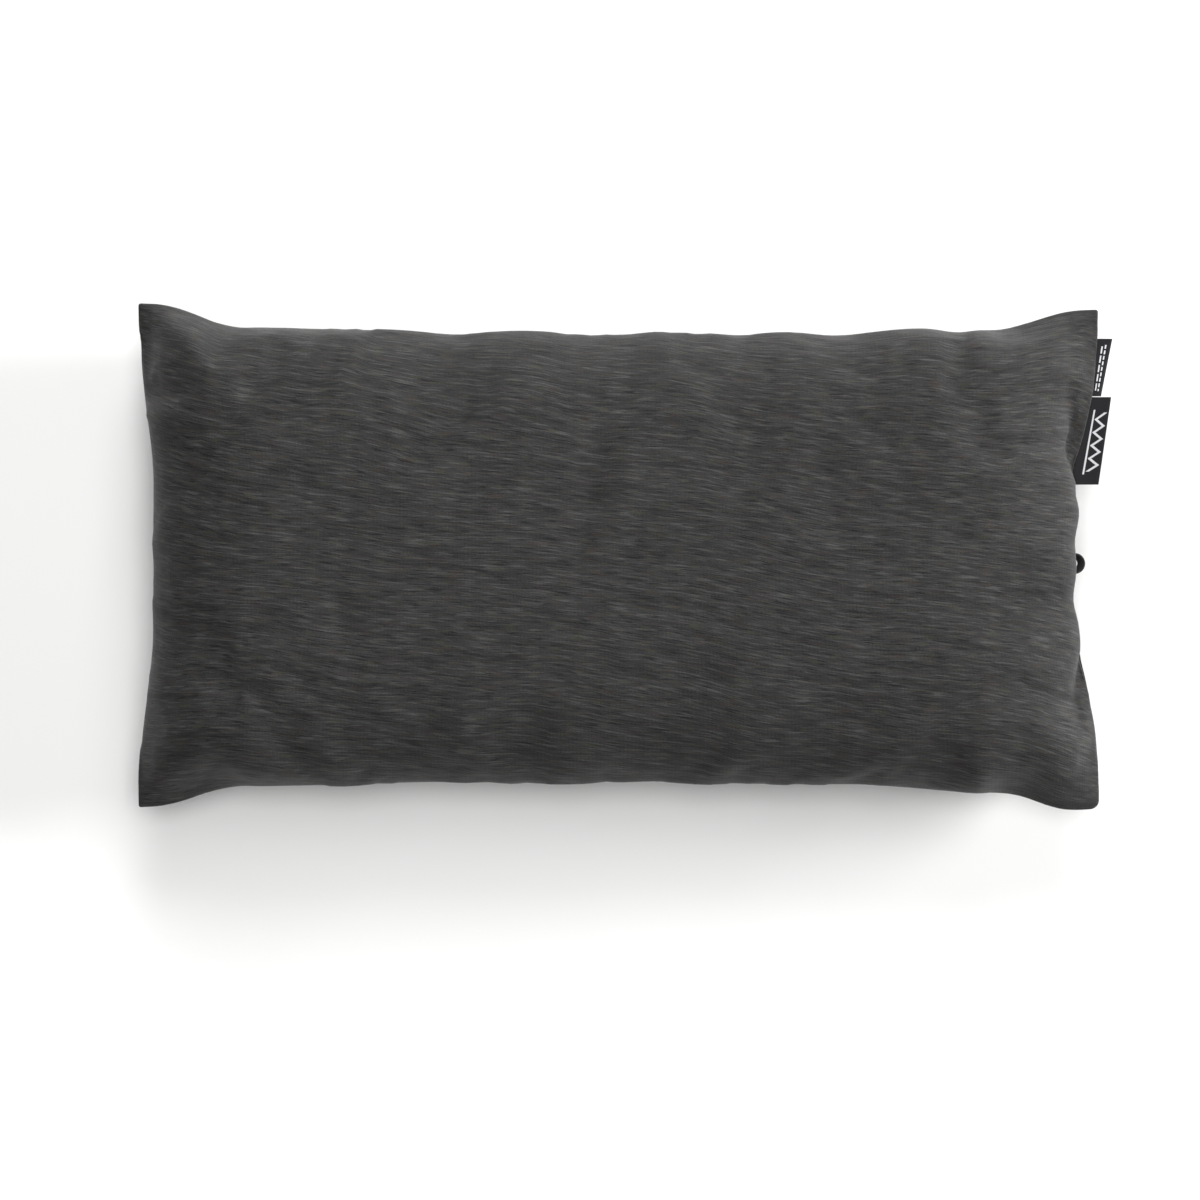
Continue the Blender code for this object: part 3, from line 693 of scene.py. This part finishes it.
    def drift_at(self, u, v, side):
        """The blown cover's puckers at (u, v), between the points that were blown."""
        us, vs, fields = self.drift
        field = fields[side]
        place_u = np.interp(u, us, np.arange(len(us)))
        place_v = np.interp(v, vs, np.arange(len(vs)))
        i = np.minimum(place_u.astype(int), len(us) - 2)
        j = np.minimum(place_v.astype(int), len(vs) - 2)
        p = (place_u - i)[..., None]
        q = (place_v - j)[..., None]
        p, q = p * p * (3 - 2 * p), q * q * (3 - 2 * q)
        near = field[i, j] * (1 - q) + field[i, j + 1] * q
        far = field[i + 1, j] * (1 - q) + field[i + 1, j + 1] * q
        return near * (1 - p) + far * p

    def cloth_lines(self, us, vs, side):
        """The cloth's flat coordinates along the two middle lines, in metres."""
        mid_u = self.point(us, np.zeros_like(us), side)
        mid_v = self.point(np.zeros_like(vs), vs, side)
        flat = []
        for line in (mid_u, mid_v):
            run = np.concatenate([[0], np.cumsum(np.linalg.norm(np.diff(line, axis=0), axis=1))])
            flat.append(run - run[len(run) // 2])
        grid = np.meshgrid(*flat, indexing="ij")
        return np.stack(grid, axis=-1)


@functools.cache
def sewn_cover():
    """The cover's shape, blown up once for every piece that follows it."""
    cover = Cover()
    cover.relax()
    return cover


EDGE_STEPS_X = (0.0, 0.0006, 0.0018, 0.0036, 0.0062, 0.0100, 0.0150)
EDGE_STEPS_Y = (0.0, 0.0012, 0.0036, 0.0072, 0.0125, 0.0200, 0.0300)


def cover_panel(cover, name, side, us, vs, material, node, tuck=None):
    """A panel of the cover through the grid lines us and vs, as a sheet with a wall."""
    grid_u, grid_v = np.meshgrid(us, vs, indexing="ij")
    points = cover.point(grid_u, grid_v, side)
    if tuck is not None:
        points = tuck(points, grid_u, grid_v)
    mesh = grid_mesh(name, points, cover.cloth_lines(us, vs, side), flip=side == BASE)
    obj = finished(name, mesh, material, "pillow", "jersey", node)
    thickened(obj, cover.s.wall)
    return obj


# Where the bladder's films come together: the weld's two halves, and the room round the port
WELD_HALF_GAP = 0.0003
CLOSING = (0.035, 0.050)  # share of the half length and half width over which the films close
PORT_HALF_WIDTH = 0.0195
PORT_HALF_HEIGHT = 0.0130
PORT_START = (0.222, 0.240)  # along X, where the films start to open and where they stand open


def inner_layer(cover, name, side, reach, depth, wall, material, slot_name, node, welded):
    """A layer that follows the cover from inside: reach is its edges' (u, v), and depth how far in."""
    us = np.sin(np.pi / 2 * np.linspace(-1, 1, 141))
    vs = np.sin(np.pi / 2 * np.linspace(-1, 1, 81))
    own_u, own_v = np.meshgrid(us, vs, indexing="ij")
    # its corners stay clear of the ears
    grid_u = own_u * reach[0] * (1 - 0.07 * smooth_step(0.62, 0.92, np.abs(own_v)))
    grid_v = own_v * reach[1] * (1 - 0.10 * smooth_step(0.78, 0.96, np.abs(own_u)))
    step = 1e-4
    at = cover.point(grid_u, grid_v, side)
    along = cover.point(grid_u + step, grid_v, side) - cover.point(grid_u - step, grid_v, side)
    across = cover.point(grid_u, grid_v + step, side) - cover.point(grid_u, grid_v - step, side)
    inward = -np.cross(along, across) * side
    inward /= np.maximum(np.linalg.norm(inward, axis=-1, keepdims=True), 1e-12)
    points = at + inward * depth
    if welded:
        # the two films come together at their weld, and stand round the port at the valve
        stand = side * (points[..., 2] - cover.s.seam_z)
        closing = np.sqrt(np.clip((1 - np.abs(own_u)) / CLOSING[0], 0, 1))
        closing = closing * np.sqrt(np.clip((1 - np.abs(own_v)) / CLOSING[1], 0, 1))
        across_port = (points[..., 1] - VALVE_Y) / PORT_HALF_WIDTH
        over_port = np.clip(1 - across_port**2, 0, 1) * PORT_HALF_HEIGHT
        least = WELD_HALF_GAP + over_port * smooth_step(*PORT_START, points[..., 0])
        stand = np.maximum(stand * closing, least)
        points[..., 2] = cover.s.seam_z + side * stand
    mesh = grid_mesh(name, points, cover.cloth_lines(us, vs, side), flip=side == BASE)
    obj = finished(name, mesh, material, "pillow", slot_name, node)
    thickened(obj, wall)
    return obj


# ---------------------------------------------------------------- operators

HEM_X = 0.150  # the back's folded edge
HEM_ROLL = 0.0012  # how far in from the fold the cloth starts to turn up
HEM_ROLL_RISE = 0.0009
OVERLAP = 0.060  # how far the underlap goes under the hem
STITCH_ROWS = (0.0045, 0.0105)  # each row's distance from the hem's fold
STITCH_PITCH = 0.0032
STITCH_LENGTH = 0.0025
THREAD_R = 0.0004
GROOVE = 0.0007  # depth of the groove that a row of stitches draws into the cloth
GROOVE_WIDTH = 0.0006
GROOVE_LINES = (-0.0016, -0.0008, 0, 0.0008, 0.0016)  # the grid lines that carry a groove
LAP_GAP = 0.0004  # between the underlap and the back over it
LAP_RISE = (0.012, 0.045)  # past the hem, where the underlap comes back out to the cover's face


def stitch_row(cover, u, material):
    """One row of stitches across the back panel at u: a short thread, repeated along its line."""
    line = cover.point(u, np.linspace(-0.90, 0.90, 61), BASE)
    line[:, 2] += GROOVE - 0.0002
    data = bpy.data.curves.new("stitch_line", "CURVE")
    data.dimensions = "3D"
    spline = data.splines.new("POLY")
    spline.points.add(len(line) - 1)
    spline.points.foreach_set("co", np.c_[line, np.ones(len(line))].ravel())
    path = bpy.data.objects.new("stitch_line", data)
    bpy.context.scene.collection.objects.link(path)
    bpy.ops.mesh.primitive_cylinder_add(
        vertices=6, radius=THREAD_R, depth=STITCH_LENGTH, rotation=(0, math.pi / 2, 0)
    )
    row = bpy.context.active_object
    only_select(row)
    bpy.ops.object.transform_apply(location=True, rotation=True, scale=True)
    count = row.modifiers.new("count", "ARRAY")
    count.fit_type = "FIT_LENGTH"
    count.fit_length = float(np.linalg.norm(np.diff(line, axis=0), axis=1).sum())
    count.use_relative_offset = False
    count.use_constant_offset = True
    count.constant_offset_displace = (STITCH_PITCH, 0, 0)
    along = row.modifiers.new("along", "CURVE")
    along.object = path
    along.deform_axis = "POS_X"
    bpy.ops.object.modifier_apply(modifier=count.name)
    bpy.ops.object.modifier_apply(modifier=along.name)
    bpy.ops.object.shade_smooth_by_angle(angle=math.radians(65))
    bpy.data.objects.remove(path)
    row.data.materials.append(material)
    return row


class OBJECT_OT_pillow_cover(bpy.types.Operator):
    """Sews the jersey cover: the crowned top, the back panel with its hem, and the underlap"""

    bl_idname = "object.pillow_cover"
    bl_label = "Jersey cover"
    bl_options = {"REGISTER", "UNDO"}

    def execute(self, context):
        cover = sewn_cover()
        knit = jersey()
        us = cover.lines(190, EDGE_STEPS_X)
        vs = cover.lines(112, EDGE_STEPS_Y)
        cover_panel(cover, "cover_top", TOP, us, vs, knit, "cover_top_panel")
        x_at = cover.point(us, 0.0, BASE)[:, 0]
        hem = float(np.interp(HEM_X, x_at, us))
        start = float(np.interp(HEM_X - OVERLAP, x_at, us))
        half = settings("cover").half_length
        rows = [hem - out / half for out in STITCH_ROWS]
        near = [row + step / half for row in rows for step in GROOVE_LINES]
        fold = [hem - out / half for out in (HEM_ROLL, 0.0006, 0.0002, 0)]
        back_us = np.concatenate([us[us < min(near) - 0.004], np.sort(near), fold])

        def hemmed(points, u, v):
            rise = sum(GROOVE * bump_curve((u - row) * half, 0, GROOVE_WIDTH) for row in rows)
            from_fold = np.clip((hem - u) * half / HEM_ROLL, 0, 1)
            rise = rise + HEM_ROLL_RISE * (1 - np.sqrt(1 - (1 - from_fold) ** 2))
            points[..., 2] += rise * (1 - smooth_step(0.93, 0.98, np.abs(v)))
            return points

        cover_panel(
            cover, "cover_back", BASE, back_us, vs, knit, "cover_bottom_panel", tuck=hemmed
        )
        thread = plain_finish("polyester sewing thread", "#4A4A48", 0.6, 0.2, 0.0004, 0.00005)
        made = [stitch_row(cover, row, thread) for row in rows]
        only_select(made[0])
        made[1].select_set(True)
        bpy.ops.object.join()
        stitches = bpy.context.active_object
        stitches.name = stitches.data.name = "hem_stitches"
        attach(stitches, "pillow")

        def tucked(points, u, v):
            x = points[..., 0]
            inside = 1 - smooth_step(HEM_X + LAP_RISE[0], HEM_X + LAP_RISE[1], x)
            depth = (cover.s.wall + LAP_GAP) * inside
            points[..., 1] -= np.sign(v) * depth * smooth_step(0.80, 0.96, np.abs(v)) * 1.2
            points[..., 2] += depth * (1 - smooth_step(0.965, 1.0, np.abs(v)))
            return points

        lap_us = np.append(start, us[us > start + 0.004])
        cover_panel(cover, "cover_lap", BASE, lap_us, vs, knit, "cover_underlap", tuck=tucked)
        return {"FINISHED"}


def closed(mesh):
    """Joins a rolled grid where its edges meet, closes its ends and turns its faces outwards."""
    bm = bmesh.new()
    bm.from_mesh(mesh)
    bmesh.ops.remove_doubles(bm, verts=bm.verts, dist=1e-6)
    bmesh.ops.holes_fill(bm, edges=[e for e in bm.edges if e.is_boundary], sides=0)
    bmesh.ops.recalc_face_normals(bm, faces=bm.faces)
    bm.to_mesh(mesh)
    bm.free()


LABEL_HALF_WALL = 0.00045

# A folded label: its ends along Y, where its leaves start and where they fold at those two ends,
# how far the fold stands above the seam's plane, its motif, and the node that it stands for
LABELS = (
    dict(
        name="large_woven_label",
        ends=(0.0410, 0.0920),
        roots=(0.2640, 0.2740),
        tips=(0.2795, 0.2870),
        lift=0.0012,
        motif=ridge_motif,
        node="label_large",
    ),
    dict(
        name="small_woven_label",
        ends=(0.0925, 0.1260),
        roots=(0.2745, 0.2785),
        tips=(0.2812, 0.2878),
        lift=-0.0008,
        motif=dash_motif,
        node="label_small",
    ),
)


def label_mesh(label, seam_z):
    """A folded tape from its root in the seam to its fold, as a thin closed loop in section."""
    rows = 24
    upper = [(t, LABEL_HALF_WALL) for t in np.linspace(0, 1, 13)]
    upper[-1] = (1.0, 0.0)  # the fold
    lower = [(t, -h) for t, h in reversed(upper[:-1])]
    loop = upper + lower
    points = np.zeros((rows + 1, len(loop), 3))
    cloth = np.zeros((rows + 1, len(loop), 2))
    low_y, high_y = label["ends"]
    root_low, root_high = label["roots"]
    tip_low, tip_high = label["tips"]
    reach = (tip_low - root_low + tip_high - root_high) / 2
    for i, s in enumerate(np.linspace(0, 1, rows + 1)):
        y = low_y + s * (high_y - low_y)
        root = root_low + s * (root_high - root_low)
        tip = tip_low + s * (tip_high - tip_low)
        for j, (t, h) in enumerate(loop):
            curl = label["lift"] * t * t * (1 + 0.35 * math.sin(3.1 * s + 0.6))
            points[i, j] = (root + t * (tip - root), y, seam_z + h + curl)
            cloth[i, j] = (s * (high_y - low_y), t * reach)
    return grid_mesh(label["name"], points, cloth)


class OBJECT_OT_pillow_labels(bpy.types.Operator):
    """Sews the two folded woven labels into the end seam"""

    bl_idname = "object.pillow_labels"
    bl_label = "Woven labels"
    bl_options = {"REGISTER", "UNDO"}

    def execute(self, context):
        seam_z = settings("cover").seam_z
        for label in LABELS:
            mesh = label_mesh(label, seam_z)
            closed(mesh)
            mesh.shade_smooth()
            mesh.set_sharp_from_angle(angle=math.radians(50))
            satin = label_satin(label["name"] + " satin", label["motif"])
            obj = finished(label["name"], mesh, satin, "pillow", "label_weave", label["node"])
        return {"FINISHED"}


def loop_tape(s):
    """The pull loop: a flat tape bent from one foot on the cap to the other, its top leaning out."""
    steps = 32
    low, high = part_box("cap_pull_loop")
    middle_y, middle_z = (low.y + high.y) / 2, (low.z + high.z) / 2
    turns = np.linspace(0, np.pi, steps + 1)
    half, wall, lean = s.tape_width / 2, s.tape_wall / 2, math.radians(s.loop_lean)
    section = [(wall, -half), (wall, half), (-wall, half), (-wall, -half)]
    points = np.zeros((len(turns), len(section) + 1, 3))
    cloth = np.zeros((len(turns), len(section) + 1, 2))
    run = 0.0
    for i, a in enumerate(turns):
        lift = math.sin(a)  # upright at its feet
        for j in range(len(section) + 1):
            across, rise = section[j % len(section)]
            tilt = lean * lift
            out = across * math.cos(tilt) + rise * math.sin(tilt) - wall
            up = rise * math.cos(tilt) - across * math.sin(tilt)
            points[i, j] = (
                low.x + (s.loop_reach + out) * lift,
                middle_y + (s.loop_half_width + out) * math.cos(a),
                middle_z + up,
            )
            cloth[i, j] = (run, rise)
        run += s.loop_reach * math.pi / steps
    return grid_mesh("cap_pull_loop_tape", points, cloth)


class OBJECT_OT_pillow_valve(bpy.types.Operator):
    """Finishes the valve, the air bladder and the insulation, and makes the cap's pull loop"""

    bl_idname = "object.pillow_valve"
    bl_label = "Valve and filling"
    bl_options = {"REGISTER", "UNDO"}

    def execute(self, context):
        s = settings("valve")
        soft = plain_finish("moulded soft urethane", s.soft_colour, 0.48, 0.12, 0.0006, 0.00004)
        hard = plain_finish("moulded ABS", s.hard_colour, 0.35, 0.08, 0.0008, 0.00002)
        rubber = plain_finish("silicone rubber", s.silicone_colour, 0.42, 0.06, 0.0010, 0.00003)
        film = plain_finish("urethane film", "#454D54", 0.42, 0.10, 0.0030, 0.00010)
        batting = plain_finish("polyester batting", "#C4C4C0", 0.95, 0.20, 0.0040, 0.00120)
        lining = plain_finish("woven lining", "#66686A", 0.75, 0.15, 0.0008, 0.00010)
        cover = sewn_cover()
        pad, mesh_lining, films = (0.915, 0.925), (0.895, 0.900), (0.972, 0.955)
        # name, side, reach, depth, wall, material, slot, node and whether its edges are welded
        layers = (
            ("insulation", TOP, pad, 0.0016, 0.0050, batting, "insulation", "insulation_pad", False),
            ("lining", TOP, mesh_lining, 0.0072, 0.0004, lining, "lining", "insulation_lining", False),
            ("bladder_top", TOP, films, 0.0084, 0.0002, film, "bladder_film", "bladder_top_sheet", True),
            ("bladder_base", BASE, films, 0.0060, 0.0002, film, "bladder_film", "bladder_bottom_sheet", True),
        )
        for layer in layers:
            inner_layer(cover, *layer)
        finishes = {
            "valve_port": soft,
            "valve_cap": soft,
            "valve_seat": hard,
            "valve_button": rubber,
            "baffle_beam_1": film,
            "baffle_beam_2": film,
            "baffle_beam_3": film,
        }
        for name, material in finishes.items():
            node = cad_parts[name]
            node.data.materials.clear()
            node.data.materials.append(material)

        mesh = loop_tape(s)
        closed(mesh)
        tape = plain_finish("woven polyester tape", s.tape_colour, 0.8, 0.35, 0.0005, 0.00015)
        loop = finished("pull_loop", mesh, tape, "cap", "pull_tape", "cap_pull_loop")
        only_select(loop)
        bevel = loop.modifiers.new("edge", "BEVEL")
        bevel.width = 0.00035
        bevel.segments = 3
        bevel.limit_method = "ANGLE"
        bpy.ops.object.modifier_apply(modifier=bevel.name)
        bpy.ops.object.shade_smooth_by_angle(angle=math.radians(40))
        return {"FINISHED"}


class OBJECT_OT_pillow_stage(bpy.types.Operator):
    """Sets up the pale floor, the soft lights and the camera over the pillow"""

    bl_idname = "object.pillow_stage"
    bl_label = "Studio stage"
    bl_options = {"REGISTER", "UNDO"}

    def execute(self, context):
        s = settings("stage")
        scene = context.scene
        scene.view_settings.view_transform = "Standard"
        bpy.ops.object.select_all(action="DESELECT")
        bpy.ops.mesh.primitive_plane_add(size=24, location=(0, 0, -0.0002))
        floor = context.active_object
        floor.name = "floor"
        made, _, shader = new_material("matt white paper")
        shader.inputs["Base Color"].default_value = colour(s.floor_colour)
        shader.inputs["Roughness"].default_value = 0.95
        floor.data.materials.append(made)

        world = bpy.data.worlds.new("studio")
        scene.world = world
        world.use_nodes = True
        back = world.node_tree.nodes["Background"]
        back.inputs["Color"].default_value = (1, 1, 1, 1)
        back.inputs["Strength"].default_value = s.sky

        aim = Vector((0, 0, 0.05))
        # name, place, diameter and power in light units
        lights = (
            ("back softbox", (0.2, 3.2, 2.2), 2.0, 1.27),
            ("overhead softbox", (0, 0, 4.2), 2.4, 1.22),
            ("right softbox", (3.6, 0.7, 1.5), 1.6, 1.78),
            ("low right softbox", (3.8, 0.9, 0.9), 1.6, 0.62),
            ("low back softbox", (0, 3.9, 0.9), 1.6, 0.25),
            ("front fill", (0, -4.0, 0.9), 2.0, 0.33),
        )
        for name, place, size, power in lights:
            data = bpy.data.lights.new(name, "AREA")
            data.shape = "DISK"
            data.size = size
            data.energy = power * s.light_power
            lamp = bpy.data.objects.new(name, data)
            scene.collection.objects.link(lamp)
            lamp.location = place
            lamp.rotation_euler = (aim - lamp.location).to_track_quat("-Z", "Y").to_euler()

        lens = bpy.data.cameras.new("camera")
        lens.sensor_width = 36  # mm
        lens.lens = lens.sensor_width * s.camera_height / s.view_width
        lens.clip_end = 100
        camera = bpy.data.objects.new("camera", lens)
        scene.collection.objects.link(camera)
        camera.location = (s.view_x, s.view_y, settings("cover").seam_z + s.camera_height)
        camera.rotation_euler = (0, 0, 0)
        scene.camera = camera
        return {"FINISHED"}


class VIEW3D_PT_camp_pillow(bpy.types.Panel):
    """Lists the pillow's pieces in the sidebar"""

    bl_label = "Camp Pillow"
    bl_idname = "VIEW3D_PT_camp_pillow"
    bl_space_type = "VIEW_3D"
    bl_region_type = "UI"
    bl_category = "Camp Pillow"

    def draw(self, context):
        for operator in OPERATORS:
            self.layout.operator(operator.bl_idname)
        for name in GROUPS:
            box = self.layout.box()
            group = settings(name)
            for key in group.__annotations__:
                box.prop(group, key)


GROUPS = {
    "cover": CoverSettings,
    "label": LabelSettings,
    "valve": ValveSettings,
    "stage": StageSettings,
}
OPERATORS = (
    OBJECT_OT_pillow_cover,
    OBJECT_OT_pillow_labels,
    OBJECT_OT_pillow_valve,
    OBJECT_OT_pillow_stage,
)
CLASSES = (*GROUPS.values(), *OPERATORS, VIEW3D_PT_camp_pillow)


def register():
    for made in CLASSES:
        bpy.utils.register_class(made)
    for name, group in GROUPS.items():
        setattr(bpy.types.Scene, "camp_pillow_" + name, bpy.props.PointerProperty(type=group))


def unregister():
    for name in GROUPS:
        delattr(bpy.types.Scene, "camp_pillow_" + name)
    for made in reversed(CLASSES):
        bpy.utils.unregister_class(made)


def main():
    register()
    bpy.ops.object.pillow_cover()
    bpy.ops.object.pillow_labels()
    bpy.ops.object.pillow_valve()
    bpy.ops.object.pillow_stage()


if __name__ == "__main__":
    main()
